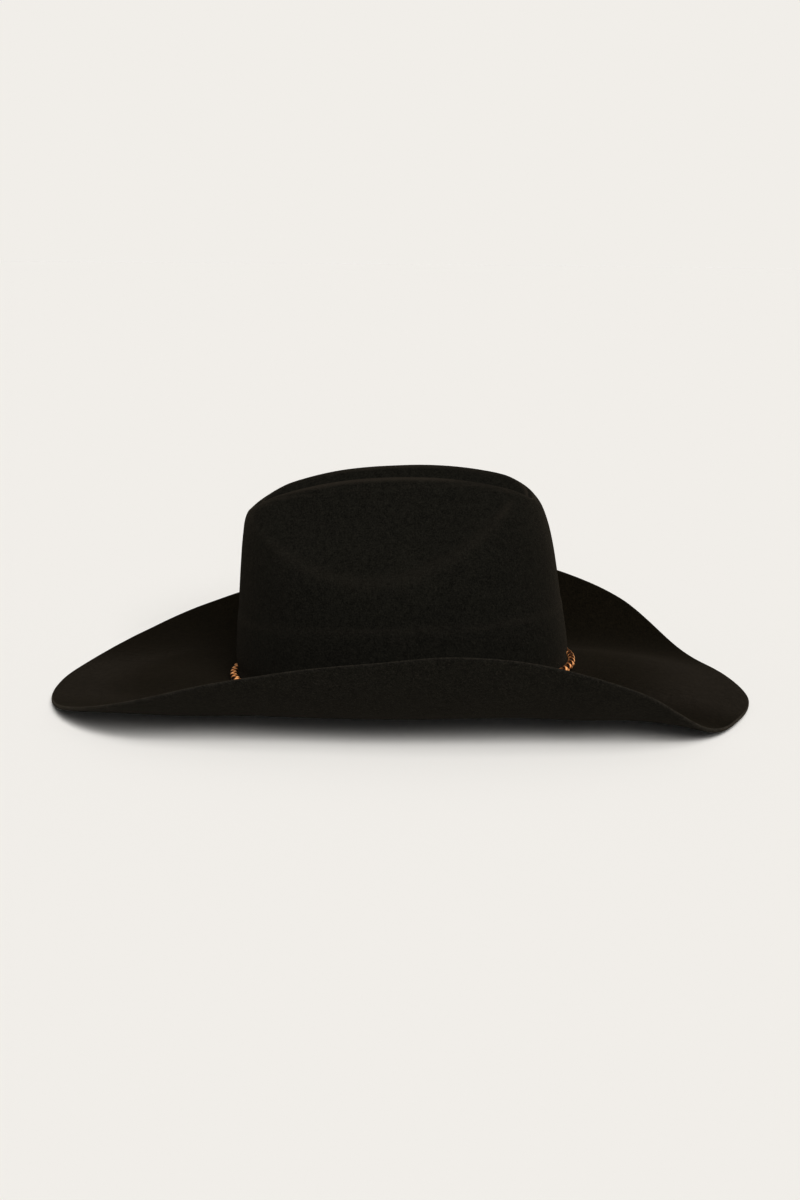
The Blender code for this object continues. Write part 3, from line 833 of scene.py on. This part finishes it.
def satin_material():
    """Warp-faced satin: tight floats one way, a broad soft highlight."""
    m = Nodes("satin_lining", (0.060, 0.030, 0.014), 0.36)
    m.set(m.b, "Specular IOR Level", 0.55)
    m.set(m.b, "Anisotropic", 0.45)
    m.set(m.b, "Sheen Weight", 0.35)
    m.set(m.b, "Sheen Roughness", 0.3)
    m.set(m.b, "Sheen Tint", (1.0, 0.82, 0.62, 1))
    floats = m.noise(1.0, 1, 0.4, m.obj((0.15, 0.1, 0.0), (2600, 2600, 420)))
    patch = m.noise(45, 2, 0.5)
    col = m.mix((m.ramp(patch, "Fac", [(0.3, (0, 0, 0)), (0.7, (1, 1, 1))]), 0), (0.044, 0.021, 0.010), (0.082, 0.042, 0.021))
    # lighter streaks along the floats: painted sheen
    c2 = m.mix((m.math("MULTIPLY", (m.ramp(floats, "Fac", [(0.4, (0, 0, 0)), (0.65, (1, 1, 1))]), 0), 0.35), 0), (col, 2), (0.14, 0.078, 0.042))
    m.t.links.new(c2.outputs[2], m.b.inputs["Base Color"])
    rr = m.ramp(patch, "Fac", [(0.3, (0.30,) * 3), (0.7, (0.44,) * 3)])
    m.t.links.new(rr.outputs[0], m.b.inputs["Roughness"])
    m.link(m.bump(floats, "Fac", 0.25, 0.00012), "Normal", m.b, "Normal")
    return m.m


def clear_material():
    m = Nodes("clear_plastic", (0.96, 0.97, 0.95), 0.06)
    m.set(m.b, "Transmission Weight", 1.0)
    m.set(m.b, "IOR", 1.46)
    ripple = m.noise(60, 1, 0.3)
    rr = m.ramp(m.noise(240, 3, 0.6), "Fac", [(0.45, (0.03,) * 3), (0.8, (0.09,) * 3)])
    m.t.links.new(rr.outputs[0], m.b.inputs["Roughness"])
    m.link(m.bump(ripple, "Fac", 0.06, 0.0008), "Normal", m.b, "Normal")
    return m.m


patch_mat = cloth_patch_material()
thread_mat = thread_material("brown_thread", (0.026, 0.015, 0.009), (0.095, 0.058, 0.034))
light_thread_mat = thread_material("tan_thread", (0.16, 0.10, 0.055), (0.34, 0.23, 0.14))
satin_mat = satin_material()
clear_mat = clear_material()

FINE = 288
inner_face = FELT + SWEAT_INSET + SWEAT_T
butt = 0.4 / BREAK[0]


def ring(n):
    return [2 * pi * j / n for j in range(n)]


# ------------------------------------------------------------------ sweatband: one leather strip, butted at the back
def sweat_profile():
    """(distance in from the outer oval, height) round the strip's section, with two tooled lines near its top."""
    o, i = FELT + SWEAT_INSET, inner_face
    out = [(o, z) for z in (3.0, 8.0, 16.0, 24.0, 32.0, 39.0, 43.4)]
    out += [(o + 0.65 - 0.65 * cos(a), SWEAT_TOP - 0.65 + 0.65 * sin(a)) for a in (0.5, 1.1, 1.57, 2.05, 2.6)]
    zs = [43.9, 42.6]
    for c in (41.6, 40.2):
        zs += [c + 0.35, c + 0.18, c, c - 0.18, c - 0.35]
    zs += [38.6, 35.0, 30.0, 25.0, 20.0, 15.0, 11.0, 8.0, 6.2, 5.6, 5.2, 4.8, 4.2, 3.2]
    for z in zs:
        d = i
        for c in (41.6, 40.2):
            d -= 0.22 * exp(-((z - c) / 0.2) ** 2)
        d -= 0.30 * exp(-((z - 5.2) / 0.55) ** 2)      # the leather is drawn in along the stitches
        out.append((d, z))
    out += [(i - 0.25, SWEAT_FOOT + 0.15), (o + 0.65, SWEAT_FOOT), (o + 0.2, SWEAT_FOOT + 0.15)]
    return out


def soft_wave(t, z, seed, amount):
    """Slow unevenness round the ring."""
    return amount * noise.noise(Vector((2.2 * cos(t) + seed, 2.2 * sin(t), z * 0.03)))


prof = sweat_profile()
secs = []
for j in range(FINE + 1):
    t = -pi + butt + (2 * pi - 2 * butt) * j / FINE
    sec = []
    for d, z in prof:
        w = soft_wave(t, z, 5.0, 0.35) * smooth((z - 8) / 20)
        sec.append((*wall(t, z, d + w), z))
    secs.append(sec)
put(sweep_ring("sweatband_looks", secs, [sweat_mat], closed=False), "hat", "sweatband_leather", "sweatband")

# ------------------------------------------------------------------ reed, and the woven tape folded round it
REED_IN = FELT + 0.35 + TAPE_T + 0.4 + REED_R
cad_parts["sweatband_reed"].data.materials.clear()
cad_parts["sweatband_reed"].data.materials.append(reed_mat)
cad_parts["sweatband_seam_patch"].data.materials.clear()
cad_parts["sweatband_seam_patch"].data.materials.append(patch_mat)
r_out, r_in = REED_R + 0.4 + TAPE_T, REED_R + 0.4
hook = [-pi * k / 12 for k in range(13)]
tape = [(REED_IN - r_out * cos(a), r_out * sin(a)) for a in hook]
tape += [(REED_IN - (r_in + r_out) / 2 - (TAPE_T / 2) * cos(a) + (r_in + r_out), TAPE_T / 2 * sin(a)) for a in ()]
tape += [(REED_IN - r_in * cos(a), r_in * sin(a)) for a in reversed(hook)]
tape += [(tape[-1][0], 4.0), (tape[-1][0], TAPE_TOP - 0.25), (tape[-1][0] - 0.3, TAPE_TOP)]
tape += [(tape[0][0], TAPE_TOP - 0.25), (tape[0][0], 4.0)]
secs = []
for t in ring(FINE):
    sec = []
    for d, z in tape:
        hi, lo = wall(t, z, d), low_wall(t, d)
        f = smooth((z - 0.5) / 2.5)
        sec.append((lo[0] + (hi[0] - lo[0]) * f, lo[1] + (hi[1] - lo[1]) * f, z))
    secs.append(sec)
put(sweep_ring("reed_tape_looks", secs, [tape_mat], uv=(580.0, 40.0)), "hat", "tape", "reed_tape")


# ------------------------------------------------------------------ threads
def on_face(t, z, off):
    """Point standing off the sweatband's inner face, off millimetres towards the head."""
    return Vector((*wall(t, z, inner_face - 0.25 + off), z))


count = 176
stitches = []
for k in range(count):
    t0 = 2 * pi * k / count
    dt = 2 * pi / count * 0.40
    path = []
    for i in range(7):
        f = i / 6
        lift = 0.42 * sin(pi * f) ** 0.6 - 0.12
        path.append(on_face(t0 - dt + 2 * dt * f, 5.2 + 0.18 * (f - 0.5), lift))
    if abs(abs((t0 + pi) % (2 * pi) - pi) - pi) < dt:
        continue
    stitches.append(capsule(path, 0.27))
put(merge("sweatband_stitches", stitches, [light_thread_mat]), "hat", "thread", "sweatband_stitching")

zig = []
for k in range(14):
    z0, z1 = 17.0 + 1.8 * k, 18.8 + 1.8 * k
    ta = (1 if k % 2 else -1) * 2.2 / BREAK[0]
    path = []
    for i in range(9):
        f = i / 8
        lift = 0.40 * sin(pi * f) ** 0.5 + 0.12
        path.append(on_face(pi + ta * (1 - 2 * f), z0 + (z1 - z0) * f, lift))
    zig.append(capsule(path, 0.29))
put(merge("sweatband_zigzag", zig, [light_thread_mat]), "hat", "thread", "sweatband_seam_thread")

# ------------------------------------------------------------------ bow at the back of the sweatband
face_x = wall(pi, 11.0, inner_face)[0]
base = Vector((face_x + 0.45, 0, 11.0))


def ribbon_strip(name, path, widths, tilt=0.0, thick=0.28):
    """Ribbon along a path in (y, z, depth), its width square to the path in the y-z plane mixed with depth."""
    P = [Vector((p[2], p[0], p[1])) for p in path]
    secs = []
    n = len(P)
    for i in range(n):
        d = (P[min(i + 1, n - 1)] - P[max(i - 1, 0)]).normalized()
        ax = Vector((tilt, 0, 1)).normalized()
        ax = (ax - d * ax.dot(d)).normalized()
        nn = d.cross(ax)
        w = widths[i] / 2
        sec = []
        for a, b in ((-1, -1), (-0.5, -1.15), (0, -1.2), (0.5, -1.15), (1, -1), (1, 1), (0.5, 0.85), (0, 0.8), (-0.5, 0.85), (-1, 1)):
            sec.append(base + P[i] + ax * w * a + nn * thick / 2 * b)
        secs.append(sec)
    return sweep_ring(name, secs, [ribbon_mat], closed=False, uv=(30.0, 12.0))


bow_parts = []
for side in (1, -1):
    path, widths = [], []
    for i in range(33):
        f = i / 32
        a = 2 * pi * f
        y = side * (0.6 + 4.1 * (1 - cos(a)))
        depth = 0.9 + 0.75 * sin(a) * (0.4 + 0.6 * sin(pi * f))
        path.append((y, 0.25 * sin(a) + 0.5 * (1 - cos(a)) * 0.5, depth))
        widths.append(2.4 + 3.6 * sin(pi * f) ** 0.8)
    bow_parts.append(ribbon_strip("bow_loop_" + ("left" if side > 0 else "right"), path, widths, 0.12 * side))
    path, widths = [], []
    for i in range(17):
        f = i / 16
        path.append((side * (0.3 + 5.4 * f ** 0.9), -0.4 - 3.9 * f ** 1.2, 0.75 - 0.35 * f + 0.2 * sin(5 * f)))
        widths.append(1.9 + 1.9 * f ** 0.7)
    bow_parts.append(ribbon_strip("bow_tail_" + ("left" if side > 0 else "right"), path, widths, 0.0, 0.26))
knot = []
for j in range(25):
    a = 2 * pi * j / 24
    knot.append((1.25 * cos(a), 0.0, 0.95 + 0.95 * sin(a)))
secs = []
for j in range(24):
    y, z, dpt = knot[j]
    c = base + Vector((dpt, y, z))
    out = Vector((sin(2 * pi * j / 24), cos(2 * pi * j / 24), 0))
    sec = []
    for q in range(10):
        b = 2 * pi * q / 10
        sec.append(c + Vector((0, 0, 1)) * 2.0 * cos(b) * (1 - 0.1 * sin(a * 3)) + out * 0.22 * sin(b) + out * 0.35 * (1 - cos(b) ** 2))
    secs.append(sec)
bow_parts.append(sweep_ring("bow_knot", secs, [ribbon_mat], uv=(9.0, 9.0)))
for p in bow_parts:
    put(p, "hat", "ribbon", "sweatband_bow")

# ------------------------------------------------------------------ blank label, sewn at its four sides
half = 11.0 / BREAK[1]
NL, NZ = 44, 40
verts, faces = [], []
for face in (0, 1):
    for i in range(NZ + 1):
        z = 14.0 + 20.0 * i / NZ
        for j in range(NL + 1):
            t = pi / 2 - half + 2 * half * j / NL
            e = min(1.0, min(i, NZ - i, j, NL - j) / 3.0)
            puff = 0.22 * smooth(e) + 0.10 * noise.noise(Vector((t * 30, z * 0.25, 3.3)))
            verts.append((*wall(t, z, inner_face + 0.12 + (0.34 + puff if face else 0.0)), z))
a = grid_faces(NZ + 1, NL + 1)
m = (NZ + 1) * (NL + 1)
faces = [f[::-1] for f in a] + [tuple(i + m for i in f) for f in a]
edge = [j for j in range(NL)] + [NL + (NL + 1) * i for i in range(NZ)] + [m - 1 - j for j in range(NL)] + [(NL + 1) * (NZ - i) for i in range(NZ)]
for k in range(len(edge)):
    p, q = edge[k], edge[(k + 1) % len(edge)]
    faces.append((p, q, q + m, p + m))
label = mesh_from("size_label_looks", [Vector(v) * MM for v in verts], faces, [label_mat])
uv = label.data.uv_layers.new(name="UVMap")
for p in label.data.polygons:
    for li, vi in zip(p.loop_indices, p.vertices):
        v = label.data.vertices[vi].co
        uv.data[li].uv = (v.x / MM, v.z / MM)
put(label, "hat", "label", "size_label")
sew = []
for i in range(9):
    for z in (14.9, 33.1):
        t0 = pi / 2 - half + 2 * half * (i + 0.5) / 9
        sew.append(capsule([Vector((*wall(t0 + dt / BREAK[1], z, inner_face + 0.70 - 0.25 * abs(dt)), z)) for dt in (-0.8, -0.4, 0, 0.4, 0.8)], 0.17))
for i in range(8):
    z = 14.0 + 20.0 * (i + 0.5) / 8
    for s_ in (-1, 1):
        t0 = pi / 2 + s_ * (half - 0.9 / BREAK[1])
        sew.append(capsule([Vector((*wall(t0, z + dz, inner_face + 0.70 - 0.25 * abs(dz)), z + dz)) for dz in (-0.8, -0.4, 0, 0.4, 0.8)], 0.17, up=Vector((1, 0, 0))))
put(merge("size_label_stitches", sew, [thread_mat]), "hat", "thread")

# ------------------------------------------------------------------ satin lining: gathered side, domed tip, corded seam, clear shield
LIN_IN = FELT + 0.35


def lining_wall(t, z, extra=0.0):
    return wall(t, z, LIN_IN + 1.6 * smooth((z - 44) / 26) + extra)


def gather(t, z):
    """How far a fold of the side lining stands in, in millimetres; the folds deepen towards the tip seam."""
    g = smooth((z - 40) / 30)
    a = 58 * t + 2.2 * noise.noise(Vector((3 * cos(t), 3 * sin(t), z * 0.02)))
    fold = (0.5 + 0.5 * sin(a)) ** 1.6
    b = 0.5 + 0.5 * noise.noise(Vector((14 * cos(t), 14 * sin(t), z * 0.035 + 9)))
    c = 0.5 + 0.5 * noise.noise(Vector((5 * cos(t) + 4, 5 * sin(t), z * 0.09)))
    return g * (0.75 * fold * (0.4 + 0.6 * b)) + 0.5 * c * smooth((z - 30) / 20)


LS = 696
secs = []
zs = [LINING_FOOT + (LINING_TOP - LINING_FOOT) * k / 30 for k in range(31)]
for t in ring(LS):
    back_, front_ = [], []
    for z in zs:
        g = gather(t, z)
        back_.append((*lining_wall(t, z, max(0.0, g - 0.1)), z))
        front_.append((*lining_wall(t, z, LINING_T + g), z))
    top = [(*lining_wall(t, LINING_TOP + 0.2, LINING_T / 2 + gather(t, LINING_TOP)), LINING_TOP + 0.2)]
    foot = [(*lining_wall(t, LINING_FOOT - 0.2, LINING_T / 2), LINING_FOOT - 0.2)]
    secs.append(back_ + top + front_[::-1] + foot)
put(sweep_ring("lining_side_looks", secs, [satin_mat]), "hat", "lining_satin", "lining_side")


def disc(name, mat, share, z0, rise, thick, rings, cols, ripple=None):
    """Thick domed oval panel, closed at its centre."""
    top, low = [], []
    rim = [lining_wall(t, LINING_TOP, LINING_T + 0.7) for t in ring(cols)]
    for i in range(rings):
        f = 1 - i / rings
        for j, (x, y) in enumerate(rim):
            r = ripple(2 * pi * j / cols, f) if ripple else 0.0
            p = (x * (f + (1 - f) * 0.35 * f) * share, y * f * share, z0 + rise * (1 - f * f) + r)
            top.append(p)
            low.append((p[0], p[1], p[2] - thick))
    verts = top + low + [(0, 0, z0 + rise), (0, 0, z0 + rise - thick)]
    m = rings * cols
    a = grid_faces(rings, cols, close_cols=True)
    faces = a + [tuple(i + m for i in f[::-1]) for f in a]
    for j in range(cols):
        k = (j + 1) % cols
        faces.append((k, j, j + m, k + m))
        faces.append(((rings - 1) * cols + j, (rings - 1) * cols + k, 2 * m))
        faces.append((m + (rings - 1) * cols + k, m + (rings - 1) * cols + j, 2 * m + 1))
    return mesh_from(name, [Vector(v) * MM for v in verts], faces, [mat])


def tip_ripple(t, f):
    pucker = 0.35 * sin(58 * t) * smooth((f - 0.72) / 0.28) * (1 - smooth((f - 0.95) / 0.05) * 0.6)
    slack = 0.5 * noise.noise(Vector((2.5 * f * cos(t), 2.5 * f * sin(t), 1.7))) * (1 - f ** 4)
    return pucker * 0.6 + slack


TC = 464
put(disc("lining_tip_looks", satin_mat, 1.0, LINING_TOP - 0.4, 2.0, LINING_T, 24, TC, tip_ripple), "hat", "lining_satin", "lining_tip")
put(disc("tip_shield_looks", clear_mat, 0.72, LINING_TOP - 0.4 - LINING_T - 0.35, 1.6, 0.42, 18, 144), "hat", "tip_shield", "tip_shield")

rimline = []
for t in ring(1440):
    x, y = lining_wall(t, LINING_TOP, LINING_T + 0.7)
    k = 1 - 1.9 / hypot(x, y)
    rimline.append((x * k, y * k, LINING_TOP - 0.4 - LINING_T - GAP - PIPING_R))
cord_n = 1440
P = [Vector(rimline[int(i * 1440 / cord_n)]) for i in range(cord_n)]
secs = []
for i in range(cord_n):
    d = (P[(i + 1) % cord_n] - P[i - 1]).normalized()
    s_ = d.cross(Vector((0, 0, 1))).normalized()
    u_ = s_.cross(d)
    ph = 2 * pi * 150 * i / cord_n / 2
    sec = []
    for q in range(14):
        a = 2 * pi * q / 14
        r = 0.70 + 0.28 * abs(cos(a - ph))
        sec.append(P[i] + s_ * r * cos(a) + u_ * r * sin(a))
    secs.append(sec)
put(sweep_ring("lining_piping_looks", secs, [satin_mat]), "hat", "lining_satin", "lining_piping")

shield = []
for k in range(120):
    t0 = 2 * pi * k / 120
    path = []
    for i in range(5):
        t = t0 + (i - 2) * 2 * pi / 120 * 0.18
        x, y = lining_wall(t, LINING_TOP, LINING_T + 0.7)
        f = 0.955
        w = f + (1 - f) * 0.35 * f
        path.append(Vector((x * w * 0.72, y * f * 0.72, LINING_TOP - 0.4 - LINING_T - 0.35 + 1.6 * (1 - f * f) - 0.42 - (0.12 - 0.16 * (abs(i - 2) / 2) ** 2))))
    shield.append(capsule(path, 0.16, up=Vector((0.3, 0.2, 1))))
put(merge("tip_shield_stitches", shield, [thread_mat]), "hat", "thread")

# ------------------------------------------------------------------ camera
CAM_D, CAM_E, CAM_ROLL, CAM_YAW = 1200.0, radians(10.8), radians(2.6), radians(3.82)
OFFSET = Vector((-0.32, 0, -43.4))
MM_PER_PX = 0.615
cr, sr, cy, sy = cos(CAM_ROLL), sin(CAM_ROLL), cos(CAM_YAW), sin(CAM_YAW)
TURN = Matrix(((cy, sy, 0), (-sy, cy, 0), (0, 0, 1))) @ Matrix(((cr, 0, -sr), (0, 1, 0), (sr, 0, cr)))
back = TURN.transposed()
cam = bpy.data.cameras.new("camera")
cam.sensor_width = 36.0
cam.lens = CAM_D / MM_PER_PX / 1200 * 36.0
cam.clip_start, cam.clip_end = 0.05, 60
cam_ob = bpy.data.objects.new("camera", cam)
bpy.context.scene.collection.objects.link(cam_ob)
eye = back @ Vector((0, -CAM_D * cos(CAM_E), CAM_D * sin(CAM_E))) - OFFSET
look = Matrix(((1, 0, 0), (0, sin(CAM_E), -cos(CAM_E)), (0, cos(CAM_E), sin(CAM_E))))
axes = back @ look
cam_ob.matrix_world = Matrix.Translation(eye * MM) @ axes.to_4x4()
bpy.context.scene.camera = cam_ob

# ------------------------------------------------------------------ floor, on the brim's lowest points front and back
co = np.zeros(len(felt.data.vertices) * 3)
felt.data.vertices.foreach_get("co", co)
co = co.reshape(-1, 3)
front = co[co[:, 0] > 0.12]
rear = co[co[:, 0] < -0.12]
tilt = 0.0
for _ in range(12):
    nrm = np.array([-sin(tilt), 0, cos(tilt)])
    a = front[(front @ nrm).argmin()]
    b = rear[(rear @ nrm).argmin()]
    tilt = atan2(a[2] - b[2], a[0] - b[0])
nrm = np.array([-sin(tilt), 0, cos(tilt)])
low = float((co @ nrm).min())
floor_me = bpy.data.meshes.new("floor")
bm = bmesh.new()
bmesh.ops.create_circle(bm, cap_ends=True, segments=96, radius=14.0)
bm.to_mesh(floor_me)
bm.free()
floor = bpy.data.objects.new("floor", floor_me)
bpy.context.scene.collection.objects.link(floor)
floor.rotation_euler = (0, -tilt, 0)
floor.location = Vector(nrm) * (low - 0.0002)

# ------------------------------------------------------------------ light: an even pale studio and three soft sun lamps, overhead, front and a low fill
GAMMA = 0.80                    # a print's contrast: the blacks go down, the paper stays
DOME = 0.15                     # how much of the backdrop's brightness lights the hat from all round
FLOOR = 0.85
# lamps: name, direction towards it, share of the light on the floor, apparent size in degrees
LAMPS = (("soft_overhead", (0.12, -0.6, 1.0), 0.25, 36), ("soft_front", (0.36, -1.0, 0.72), 0.715, 36),
         ("low_fill", (0.10, -1.0, 0.20), 0.035, 16))


def backdrop(c):
    """Linear value that comes out as c of 255."""
    return (((c / 255) ** GAMMA + 0.055) / 1.055) ** 2.4


SCREEN = [backdrop(c) for c in (241, 238, 233)]
world = bpy.data.worlds.new("studio")
bpy.context.scene.world = world
world.use_nodes = True
wt = world.node_tree
bg = wt.nodes["Background"]
bg.inputs["Color"].default_value = (*SCREEN, 1)
path = wt.nodes.new("ShaderNodeLightPath")
level = wt.nodes.new("ShaderNodeMapRange")
level.inputs["To Min"].default_value = DOME
level.inputs["To Max"].default_value = 1.0
wt.links.new(path.outputs["Is Camera Ray"], level.inputs["Value"])
wt.links.new(level.outputs["Result"], bg.inputs["Strength"])
lit = SCREEN[1] / FLOOR - SCREEN[1] * DOME      # what the lamps add to the dome on the open floor
for name, toward, share, angle in LAMPS:
    toward = Vector(toward).normalized()
    sun = bpy.data.lights.new(name, "SUN")
    sun.energy = pi * lit * share / toward.dot(Vector(nrm))
    sun.angle = radians(angle)
    sun_ob = bpy.data.objects.new(name, sun)
    bpy.context.scene.collection.objects.link(sun_ob)
    sun_ob.rotation_euler = toward.to_track_quat("Z", "Y").to_euler()
floor_mat = bpy.data.materials.new("pale_floor")
floor_mat.use_nodes = True
fb = floor_mat.node_tree.nodes["Principled BSDF"]
fb.inputs["Base Color"].default_value = (*[s / (s * DOME + lit) for s in SCREEN], 1)
fb.inputs["Roughness"].default_value = 1.0
fb.inputs["Specular IOR Level"].default_value = 0.0
floor_me.materials.append(floor_mat)

scene = bpy.context.scene
scene.view_settings.view_transform = "Standard"
scene.view_settings.look = "None"
scene.view_settings.exposure = 0.0
scene.view_settings.gamma = GAMMA
